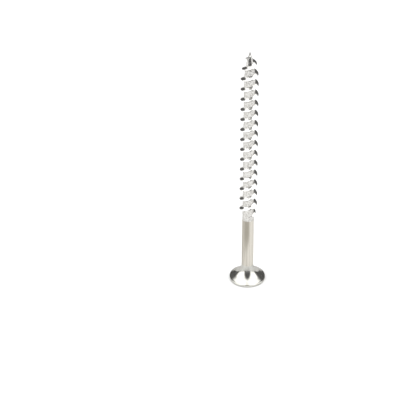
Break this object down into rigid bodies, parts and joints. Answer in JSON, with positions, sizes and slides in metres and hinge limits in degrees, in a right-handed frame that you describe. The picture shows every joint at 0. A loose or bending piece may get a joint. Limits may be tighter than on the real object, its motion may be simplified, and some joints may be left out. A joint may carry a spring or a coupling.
{
  "type": "wood screw",
  "caption": "Stainless bugle-head wood screw with a smooth upper shank, a coarse right-hand thread on the rest, and a sharp point.",
  "frame": {"origin": "centre of the head's flat drive face, where the screw stands on its head", "axes": "+Z along the screw's axis from the head towards the tip; X and Y across the flats of the square recess"},
  "size_m": [0.0084, 0.0084, 0.0635],
  "materials": {
    "polished_steel": "smooth, bright, mirror-like from the forging die",
    "drawn_steel": "satin, with fine lengthwise drawing marks",
    "rolled_steel": "bright, faintly mottled between the ridges",
    "point_steel": "bright, as the thread"
  },
  "bodies": {
    "root": {"head": "polished_steel", "shank": "drawn_steel", "threaded_shank": "rolled_steel", "point": "point_steel"}
  },
  "joints": []
}
